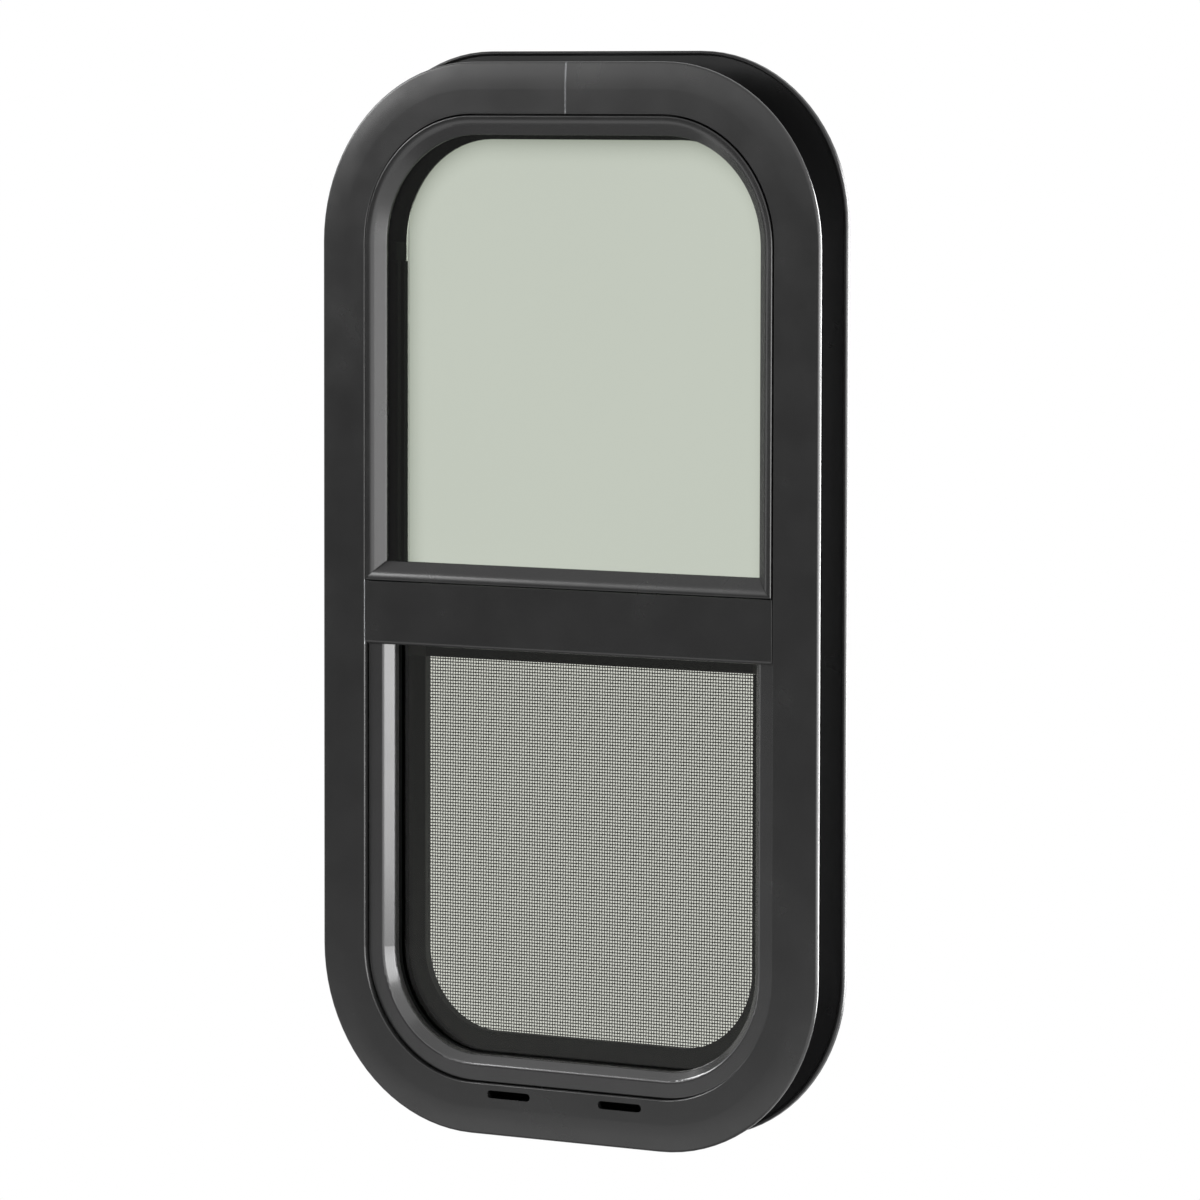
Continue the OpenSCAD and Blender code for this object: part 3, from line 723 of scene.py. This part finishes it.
@dataclass
class OuterFrame:
    """The bent extrusion that shows from outside, with its plate at the butt joint."""

    shop: Workshop
    plate_z: float = 378.0
    plate_y: float = 18.35
    rivet_x: tuple[float, ...] = (-22.0, -9.0, 9.0, 22.0)
    rivet: Fastener = Fastener(
        "rivet_tree", Drive.NONE, head_r_mm=3.2, rim_mm=0.3, dome_mm=0.7, shank_r_mm=1.5, shank_mm=3.0
    )

    def build(self) -> None:
        """Dresses the frame and rivets its joint plate."""
        self.shop.dress(FRAME_COAT, ["outer_frame", "meeting_rail", "upper_bead", "rail_bead"])
        self.shop.dress(MILL_METAL, ["frame_joint_plate", "ring_joint_plate"])
        spots = [Vector((x, self.plate_y, self.plate_z)) * MM for x in self.rivet_x]
        piece = self.rivet.place("frame_joint_rivets", spots, UPWARD, self.shop.material(MILL_METAL))
        settle(piece, "bare_aluminium")


@dataclass
class ClampRing:
    """The inner ring that pulls the window against the wall, with its screws and joint rivets."""

    shop: Workshop
    outline: Outline
    groove: float = 30.0
    pitch: float = 130.0
    top_pitch: float = 150.0
    face_y: float = 39.0
    rivet_z: float = -381.9
    rivet_x: tuple[float, ...] = (-19.0, -8.0, 8.0, 19.0)
    screw: Fastener = Fastener(
        "ring_screw_tree", Drive.CROSS, seed=11,
        head_r_mm=4.2, rim_mm=0.9, dome_mm=1.5, shank_r_mm=1.95, shank_mm=9.0,
    )
    rivet: Fastener = Fastener(
        "ring_rivet_tree", Drive.NONE, head_r_mm=2.8, rim_mm=0.3, dome_mm=0.6, shank_r_mm=1.4, shank_mm=3.0
    )

    def seats(self) -> list[Vector]:
        """Works out where the ring's screws sit, over the frame's screw groove.

        Returns:
            The sixteen seats in metres.
        """
        edge_x, edge_z = self.outline.half_w - self.groove, self.outline.half_h - self.groove
        bend = (self.outline.corner_r - self.groove) * math.sin(math.pi / 4)
        corner_x = self.outline.half_w - self.outline.corner_r + bend
        corner_z = self.outline.half_h - self.outline.corner_r + bend
        seats = [(side * edge_x, step * self.pitch) for side in (-1, 1) for step in (-1.5, -0.5, 0.5, 1.5)]
        for side in (-1, 1):
            for end in (-1, 1):
                seats += [(side * self.top_pitch / 2, end * edge_z), (side * corner_x, end * corner_z)]
        return [Vector((x, self.face_y, z)) * MM for x, z in seats]

    def build(self) -> None:
        """Dresses the ring and puts in its screws and rivets."""
        self.shop.dress(RING_COAT, ["clamp_ring"])
        piece = self.screw.place("ring_screws", self.seats(), TO_ROOM, self.shop.material(BLACK_ZINC))
        settle(piece, "ring_coating")
        spots = [Vector((x, self.face_y, self.rivet_z)) * MM for x in self.rivet_x]
        piece = self.rivet.place("ring_joint_rivets", spots, TO_ROOM, self.shop.material(RING_COAT))
        settle(piece, "ring_coating")


@dataclass
class Panes:
    """Both panes and the soft pieces that hold and guide them, each as a list of its nodes."""

    shop: Workshop
    fixed: tuple[str, ...] = ("upper_glass",)
    sliding: tuple[str, ...] = ("sash_glass",)
    blocks: tuple[str, ...] = ("setting_block_left", "setting_block_right")
    strips: tuple[str, ...] = ("glazing_tape", "rail_glazing_strip")
    flocked: tuple[str, ...] = ("run_channel", "rail_weatherstrip", "sash_stop_left", "sash_stop_right")

    def build(self) -> None:
        """Dresses the glass, its rubber and the flocked channel."""
        self.shop.dress(UPPER_GLASS, self.fixed)
        self.shop.dress(SASH_GLASS, self.sliding)
        self.shop.dress(RUBBER, self.strips + self.blocks)
        self.shop.dress(FLOCK, self.flocked)


@dataclass
class SlidingSash:
    """The insert around the lower half, and the sash's rail and latch."""

    shop: Workshop
    latch_z: float = -18.0
    latch_face_y: float = 26.4
    screw_x: float = 19.0
    screw: Fastener = Fastener(
        "latch_screw_tree", Drive.CROSS, seed=5,
        head_r_mm=2.4, rim_mm=0.3, dome_mm=0.7, shank_r_mm=1.2, shank_mm=2.5,
    )

    def build(self) -> None:
        """Dresses the lower half and screws the latch on."""
        self.shop.dress(INSERT_COAT, ["lower_insert"])
        self.shop.dress(FRAME_COAT, ["sash_top_rail"])
        self.shop.dress(NYLON, ["sash_latch", "latch_lever"])
        spots = [Vector((side * self.screw_x, self.latch_face_y, self.latch_z)) * MM for side in (-1, 1)]
        piece = self.screw.place("latch_screws", spots, TO_ROOM, self.shop.material(BLACK_ZINC))
        settle(piece, "black_plastic")


class Lay(Enum):
    """Which way a family of threads runs in the cloth. The value is the tree's Level input."""

    UPRIGHT = False
    LEVEL = True


@dataclass
class InsectScreen:
    """The screen's frame, its woven cloth and the ribbed cord that holds the cloth."""

    shop: Workshop
    outline: Outline
    cloth_y: float = 35.35
    cloth_inset: float = 70.0
    cloth_top: float = -43.2
    # The real cloth has a 1.9 mm pitch and 0.43 mm yarn, which this picture is too coarse to show.
    pitch: float = 2.3
    thread: float = 0.78
    cord_inset: float = 68.8
    cord_y: float = 34.3
    cord_r: float = 1.6
    cord_groove_r: float = 1.344
    cord_top: float = -47.0
    bar_cord_z: float = -41.8
    bar_cord_x: float = 143.5
    ribs: int = 9

    def weave_tree(self) -> Tree:
        """Builds the tree that weaves one family of threads.

        Returns:
            The geometry tree.
        """
        tree, enter, leave = new_tree(
            "insect_cloth",
            {
                "Width": "Float",
                "Height": "Float",
                "Threads across": "Int",
                "Threads up": "Int",
                "Pitch": "Float",
                "Thread": "Float",
                "Corner radius": "Float",
                "Middle": "Vector",
                "Level": "Bool",
                "Finish": "Material",
            },
        )
        got = enter.outputs
        lines = self.thread_lines(tree, got)
        place = add(tree, "GeometryNodeInputPosition").outputs[0]
        spot = add(tree, "ShaderNodeSeparateXYZ", {0: place}).outputs
        outside = self.past_corner(tree, got, spot)
        where = {"Geometry": lines, "Selection": outside}
        cut = add(tree, "GeometryNodeDeleteGeometry", where, domain="POINT", mode="ALL").outputs[0]
        radius = add(tree, "ShaderNodeMath", {0: got["Thread"], 1: 0.5}, operation="MULTIPLY").outputs[0]
        lift = self.over_and_under(tree, got, spot, radius)
        stood = add(tree, "ShaderNodeCombineXYZ", {0: spot[0], 1: lift, 2: spot[1]}).outputs[0]
        moved = {"Geometry": cut, "Position": stood, "Offset": got["Middle"]}
        woven = add(tree, "GeometryNodeSetPosition", moved).outputs[0]
        curve = add(tree, "GeometryNodeMeshToCurve", {"Mesh": woven}).outputs[0]
        ring = add(tree, "GeometryNodeCurvePrimitiveCircle", {"Resolution": 4, "Radius": radius}).outputs[0]
        swept = {"Curve": curve, "Profile Curve": ring, "Fill Caps": True}
        yarn = add(tree, "GeometryNodeCurveToMesh", swept).outputs[0]
        smooth = add(tree, "GeometryNodeSetShadeSmooth", {0: yarn}).outputs[0]
        close_tree(tree, enter, leave, smooth)
        return tree

    def thread_lines(self, tree: Tree, got: Any) -> Socket:
        """Adds a grid with only the edges that run the way of this family of threads.

        Args:
            tree: the cloth's tree.
            got: the tree's input sockets.

        Returns:
            The socket of the lines.
        """
        counts = {"Vertices X": got["Threads across"], "Vertices Y": got["Threads up"]}
        grid = add(tree, "GeometryNodeMeshGrid", {"Size X": got["Width"], "Size Y": got["Height"], **counts})
        ends = add(tree, "GeometryNodeInputMeshEdgeVertices").outputs
        pair = {0: ends["Position 1"], 1: ends["Position 2"]}
        span = add(tree, "ShaderNodeVectorMath", pair, operation="SUBTRACT").outputs[0]
        along = add(tree, "ShaderNodeSeparateXYZ", {0: span}).outputs[0]
        length = add(tree, "ShaderNodeMath", {0: along}, operation="ABSOLUTE").outputs[0]
        is_level = add(tree, "FunctionNodeCompare", {0: length, 1: 1e-5}, operation="GREATER_THAN").outputs[0]
        unlike = {0: is_level, 1: got["Level"]}
        other = add(tree, "FunctionNodeBooleanMath", unlike, operation="XOR").outputs[0]
        where = {"Geometry": grid.outputs["Mesh"], "Selection": other}
        return add(tree, "GeometryNodeDeleteGeometry", where, domain="EDGE", mode="EDGE_FACE").outputs[0]

    def past_corner(self, tree: Tree, got: Any, spot: Sequence[Socket]) -> Socket:
        """Finds the points outside the screen's two round lower corners.

        Args:
            tree: the cloth's tree.
            got: the tree's input sockets.
            spot: the outputs of a point's split position.

        Returns:
            A socket that is true for points to cut away.
        """
        sideways = add(tree, "ShaderNodeMath", {0: spot[0]}, operation="ABSOLUTE").outputs[0]
        down = add(tree, "ShaderNodeMath", {0: spot[1], 1: -1.0}, operation="MULTIPLY").outputs[0]
        reach = add(tree, "ShaderNodeCombineXYZ", {0: sideways, 1: down}).outputs[0]
        size = add(tree, "ShaderNodeCombineXYZ", {0: got["Width"], 1: got["Height"]}).outputs[0]
        half = add(tree, "ShaderNodeVectorMath", {0: size, "Scale": 0.5}, operation="SCALE").outputs[0]
        past = add(tree, "ShaderNodeVectorMath", {0: reach, 1: half}, operation="SUBTRACT").outputs[0]
        radius = got["Corner radius"]
        corner = add(tree, "ShaderNodeCombineXYZ", {0: radius, 1: radius}).outputs[0]
        inner = add(tree, "ShaderNodeVectorMath", {0: past, 1: corner}, operation="ADD").outputs[0]
        kept = add(tree, "ShaderNodeVectorMath", {0: inner, 1: ORIGIN}, operation="MAXIMUM").outputs[0]
        away = add(tree, "ShaderNodeVectorMath", {0: kept}, operation="LENGTH").outputs["Value"]
        return add(tree, "FunctionNodeCompare", {0: away, 1: radius}, operation="GREATER_THAN").outputs[0]

    def over_and_under(self, tree: Tree, got: Any, spot: Sequence[Socket], radius: Socket) -> Socket:
        """Lifts a thread over one neighbour and takes it under the next.

        Args:
            tree: the cloth's tree.
            got: the tree's input sockets.
            spot: the outputs of a point's split position.
            radius: the yarn's radius.

        Returns:
            The socket of the lift along Y.
        """
        sizes = add(tree, "ShaderNodeMath", {0: got["Width"], 1: got["Height"]}, operation="ADD").outputs[0]
        spots = add(tree, "ShaderNodeMath", {0: spot[0], 1: spot[1]}, operation="ADD").outputs[0]
        along = add(tree, "ShaderNodeMath", {0: sizes, 1: 0.5, 2: spots}, operation="MULTIPLY_ADD").outputs[0]
        steps = add(tree, "ShaderNodeMath", {0: along, 1: got["Pitch"]}, operation="DIVIDE").outputs[0]
        count = add(tree, "ShaderNodeMath", {0: steps}, operation="ROUND").outputs[0]
        odd = add(tree, "ShaderNodeMath", {0: count, 1: 2.0}, operation="MODULO").outputs[0]
        under = add(tree, "FunctionNodeBooleanMath", {0: odd, 1: got["Level"]}, operation="XOR").outputs[0]
        sunk = add(tree, "ShaderNodeMath", {0: radius, 1: -1.0}, operation="MULTIPLY").outputs[0]
        either = {"Switch": under, "False": radius, "True": sunk}
        return add(tree, "GeometryNodeSwitch", either, input_type="FLOAT").outputs[0]

    def cord_tree(self) -> Tree:
        """Builds the tree that runs a ribbed section along a path.

        Returns:
            The geometry tree.
        """
        tree, enter, leave = new_tree(
            "ribbed_cord", {"Radius": "Float", "Groove radius": "Float", "Ribs": "Int", "Finish": "Material"}
        )
        got = enter.outputs
        sizes = {"Points": got["Ribs"], "Inner Radius": got["Groove radius"], "Outer Radius": got["Radius"]}
        star = add(tree, "GeometryNodeCurveStar", sizes).outputs["Curve"]
        curve = add(tree, "GeometryNodeMeshToCurve", {"Mesh": got["Geometry"]}).outputs[0]
        swept = {"Curve": curve, "Profile Curve": star, "Fill Caps": True}
        cord = add(tree, "GeometryNodeCurveToMesh", swept).outputs[0]
        close_tree(tree, enter, leave, cord)
        return tree

    def weave(self) -> None:
        """Weaves the cloth, one piece for each family of threads."""
        tree = self.weave_tree()
        half = self.outline.half_w - self.cloth_inset
        across = 2 * round(half / self.pitch) + 1
        bottom = -self.outline.half_h + self.cloth_inset
        up = round((self.cloth_top - bottom) / self.pitch) + 1
        width, height = (across - 1) * self.pitch, (up - 1) * self.pitch
        values = {
            "Width": width * MM,
            "Height": height * MM,
            "Threads across": across,
            "Threads up": up,
            "Pitch": self.pitch * MM,
            "Thread": self.thread * MM,
            "Corner radius": (self.outline.corner_r - self.cloth_inset) * MM,
            "Middle": (0.0, self.cloth_y * MM, (self.cloth_top - height / 2) * MM),
            "Finish": self.shop.material(YARN),
        }
        for lay in Lay:
            piece = from_tree(f"cloth_threads_{lay.name.lower()}", tree, {**values, "Level": lay.value})
            settle(piece, "screen_fabric", "screen_mesh")

    def press_in_cord(self) -> None:
        """Runs the cord round the frame's groove and along the top bar's."""
        path = self.outline.lower_u(self.cord_inset, self.cord_y, self.cord_top)
        bar = [Vector((side * self.bar_cord_x, self.cord_y, self.bar_cord_z)) * MM for side in (-1, 1)]
        # The top bar's two points are a run of their own, so that no edge joins them to the path.
        edges = [(i, i + 1) for i in range(len(path) + 1) if i != len(path) - 1]
        values = {
            "Radius": self.cord_r * MM,
            "Groove radius": self.cord_groove_r * MM,
            "Ribs": self.ribs,
            "Finish": self.shop.material(RUBBER),
        }
        cord = from_tree("screen_cord", self.cord_tree(), values, path + bar, edges)
        settle(cord, "black_rubber", "screen_spline")

    def build(self) -> None:
        """Dresses the screen, weaves its cloth and presses in its cord."""
        self.shop.dress(SCREEN_COAT, ["screen_frame", "screen_top_bar"])
        sides = ("left", "right")
        kinds = ("corner", "pull", "clip_low", "clip_high")
        self.shop.dress(NYLON, [f"screen_{kind}_{side}" for kind in kinds for side in sides])
        self.weave()
        self.press_in_cord()


# Studio


@dataclass(frozen=True)
class PhotoCamera:
    """The photograph's camera: right of the window and a little above it."""

    turn_deg: float = 33.03
    dip_deg: float = 4.154
    roll_deg: float = 0.121
    focal_px: float = 6841.9
    distance_mm: float = 5027.4
    aside_mm: float = -24.22
    rise_mm: float = -3.62
    near_m: float = 0.1
    far_m: float = 100.0

    def place(self) -> None:
        """Puts the camera in the scene and makes it the scene's own."""
        turn, dip, roll = (math.radians(a) for a in (self.turn_deg, self.dip_deg, self.roll_deg))
        ahead = Vector((-math.sin(turn) * math.cos(dip), math.cos(turn) * math.cos(dip), -math.sin(dip)))
        level = Vector((math.cos(turn), math.sin(turn), 0.0))
        rise = level.cross(ahead)
        right = math.cos(roll) * level + math.sin(roll) * rise
        up = -math.sin(roll) * level + math.cos(roll) * rise
        data = bpy.data.cameras.new("photo_camera")
        data.lens = self.focal_px / IMAGE_PX * SENSOR_MM
        data.sensor_width = SENSOR_MM
        data.clip_start, data.clip_end = self.near_m, self.far_m
        camera = put("photo_camera", data)
        spot = -(self.distance_mm * ahead + self.aside_mm * right + self.rise_mm * up) * MM
        camera.matrix_world = Matrix.Translation(spot) @ Matrix((right, up, -ahead)).transposed().to_4x4()
        bpy.context.scene.camera = camera


@dataclass(frozen=True)
class Softbox:
    """A rectangular lamp with a plain, even face, aimed at the window's middle.

    Its bearing runs from straight in front of the window towards the right, its height from level
    up, and it is so many metres away. Its level is its face's brightness, where a white sheet is 1.
    """

    name: str
    bearing_deg: float
    size: tuple[float, float]
    level: float
    height_deg: float = 0.0
    away: float = 2.2

    def place(self) -> None:
        """Hangs the lamp, which no camera ray meets."""
        data = bpy.data.lights.new(self.name, "AREA")
        data.shape = "RECTANGLE"
        data.size, data.size_y = self.size
        data.energy = self.level * math.pi * self.size[0] * self.size[1]
        lamp = put(self.name, data)
        bearing, height = math.radians(self.bearing_deg), math.radians(self.height_deg)
        toward = Vector(
            (math.sin(bearing) * math.cos(height), -math.cos(bearing) * math.cos(height), math.sin(height))
        )
        lamp.location = toward * self.away
        lamp.rotation_euler = (-toward).to_track_quat("-Z", "Y").to_euler()
        lamp.visible_camera = False
        lamp.visible_transmission = False


@dataclass(frozen=True)
class Flag:
    """A dim board, which only shows in the gloss of coat and glass.

    Its face is lit unevenly: the brightness rises with the square of the way from its dimmest line.
    """

    name: str
    spot: tuple[float, float, float]
    size: tuple[float, float]
    level: float
    dimmest: float = 0.0
    rise: float = 0.0
    aim: tuple[float, float, float] = ORIGIN

    def cloth(self) -> bpy.types.Material:
        """Makes the lit cloth of the board.

        Returns:
            The material.
        """
        made, tree = new_material(f"{self.name}_cloth")
        place = add(tree, "ShaderNodeTexCoord").outputs["Object"]
        up = add(tree, "ShaderNodeSeparateXYZ", {0: place}).outputs[1]
        way = add(tree, "ShaderNodeMath", {0: up, 1: self.dimmest}, operation="SUBTRACT").outputs[0]
        square = add(tree, "ShaderNodeMath", {0: way, 1: way}, operation="MULTIPLY").outputs[0]
        parts = {0: square, 1: self.rise, 2: self.level}
        level = add(tree, "ShaderNodeMath", parts, operation="MULTIPLY_ADD").outputs[0]
        glow = add(tree, "ShaderNodeEmission", {"Color": WHITE, "Strength": level})
        add(tree, "ShaderNodeOutputMaterial", {"Surface": glow.outputs[0]})
        return made

    def place(self) -> None:
        """Hangs the board, facing the point that it is aimed at."""
        mesh = bpy.data.meshes.new(self.name)
        w, h = self.size[0] / 2, self.size[1] / 2
        mesh.from_pydata([(-w, -h, 0), (w, -h, 0), (w, h, 0), (-w, h, 0)], [], [(0, 1, 2, 3)])
        mesh.materials.append(self.cloth())
        board = put(self.name, mesh)
        board.location = self.spot
        board.rotation_euler = (Vector(self.spot) - Vector(self.aim)).to_track_quat("Z", "Y").to_euler()
        board.visible_camera = False
        board.visible_diffuse = False
        board.visible_shadow = False


@dataclass
class Studio:
    """A white floor and surround, dim boards for the gloss, and soft lamps, in metres."""

    floor_z: float = -0.9
    floor_half: float = 6.0
    floor_paper: str = "#fafafa"
    shadow_reach: float = 1.1
    shadow_share: float = 0.25
    fill: float = 0.3
    flags: tuple[Flag, ...] = (
        Flag("front_board", (-1.5, -2.3, -0.19), size=(3.2, 1.38), level=0.2, dimmest=0.3, rise=0.25),
        Flag("ceiling_board", (-0.69, -1.06, 1.8), size=(3.4, 2.4), level=0.65),
        Flag("left_board", (-1.9, 0.65, 0.0), size=(2.2, 1.7), level=0.25),
        Flag("floor_board", (-0.6, -0.2, -0.88), size=(1.8, 1.3), level=0.4, aim=(-0.6, -0.2, 0.0)),
    )
    lamps: tuple[Softbox, ...] = (
        Softbox("right_front_softbox", 22.0, size=(1.2, 1.0), level=0.7),
        Softbox("right_softbox", 56.0, size=(1.3, 1.0), level=4.0),
        Softbox("right_side_softbox", 91.0, size=(1.3, 1.0), level=6.0),
        Softbox("right_back_softbox", 120.0, size=(0.9, 1.0), level=4.0),
        Softbox("rim_strip", 147.0, size=(0.6, 2.0), level=20.0),
        Softbox("edge_strip", 100.0, size=(0.12, 1.6), level=24.0, away=2.0),
        Softbox("top_left_softbox", -56.0, size=(1.0, 0.7), level=9.0, height_deg=23.0, away=2.4),
    )

    def white_share(self, tree: Tree) -> Socket:
        """Adds the share of rays that see the plain white background.

        Args:
            tree: the shader tree.

        Returns:
            A socket that is 1 for camera, glossy and transmission rays.
        """
        path = add(tree, "ShaderNodeLightPath").outputs
        pair = {0: path["Is Camera Ray"], 1: path["Is Glossy Ray"]}
        seen = add(tree, "ShaderNodeMath", pair, operation="MAXIMUM").outputs[0]
        through = path["Is Transmission Ray"]
        return add(tree, "ShaderNodeMath", {0: seen, 1: through}, operation="MAXIMUM").outputs[0]

    def surround(self) -> bpy.types.World:
        """Makes the world, which is white to look at and dimmer as a light.

        Returns:
            The world.
        """
        world = bpy.data.worlds.new("studio")
        world.use_nodes = True
        tree = world.node_tree
        tree.nodes.clear()
        soft = add(tree, "ShaderNodeBackground", {"Color": WHITE, "Strength": self.fill}).outputs[0]
        white = add(tree, "ShaderNodeBackground", {"Color": WHITE, "Strength": 1.0}).outputs[0]
        mixed = add(tree, "ShaderNodeMixShader", {0: self.white_share(tree), 1: soft, 2: white})
        add(tree, "ShaderNodeOutputWorld", {"Surface": mixed.outputs[0]})
        return world

    def paper(self) -> bpy.types.Material:
        """Makes the floor's seamless white paper, which keeps a faint shadow near the window.

        Returns:
            The material.
        """
        made, tree = new_material("white_background_paper")
        paper = add(tree, "ShaderNodeBsdfDiffuse", {"Color": linear(self.floor_paper)}).outputs[0]
        glow = add(tree, "ShaderNodeEmission", {"Color": WHITE, "Strength": 1.0}).outputs[0]
        place = add(tree, "ShaderNodeTexCoord").outputs["Object"]
        down = (0.0, 0.0, -self.floor_z / self.shadow_reach)
        fitted = {"Vector": place, "Location": down, "Scale": (1 / self.shadow_reach,) * 3}
        centred = add(tree, "ShaderNodeMapping", fitted).outputs[0]
        near = add(tree, "ShaderNodeTexGradient", {"Vector": centred}, gradient_type="QUADRATIC_SPHERE")
        parts = {0: near.outputs["Fac"], 1: -self.shadow_share, 2: 1.0}
        shaded = add(tree, "ShaderNodeMath", parts, operation="MULTIPLY_ADD").outputs[0]
        white = self.white_share(tree)
        share = add(tree, "ShaderNodeMath", {0: white, 1: shaded}, operation="MULTIPLY").outputs[0]
        mixed = add(tree, "ShaderNodeMixShader", {0: share, 1: paper, 2: glow})
        add(tree, "ShaderNodeOutputMaterial", {"Surface": mixed.outputs[0]})
        return made

    def lay_floor(self) -> None:
        """Lays the sheet of paper under the window."""
        side, level = self.floor_half, self.floor_z
        corners = [(-side, -side, level), (side, -side, level), (side, side, level), (-side, side, level)]
        mesh = bpy.data.meshes.new("floor")
        mesh.from_pydata(corners, [], [(0, 1, 2, 3)])
        mesh.materials.append(self.paper())
        put("floor", mesh)

    def build(self) -> None:
        """Sets the world, lays the floor and hangs the boards and lamps."""
        bpy.context.scene.world = self.surround()
        self.lay_floor()
        for stand in (*self.flags, *self.lamps):
            stand.place()


def main() -> None:
    """Loads the frame, dresses and adds the pieces, and sets up the studio."""
    logging.basicConfig(level=logging.INFO, format="%(message)s")
    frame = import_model()
    shop = Workshop(frame["nodes"])
    outline = Outline()
    OuterFrame(shop).build()
    ClampRing(shop, outline).build()
    Panes(shop).build()
    SlidingSash(shop).build()
    InsectScreen(shop, outline).build()
    Studio().build()
    PhotoCamera().place()
    bpy.context.scene.view_settings.view_transform = "Standard"


if __name__ == "__main__":
    main()
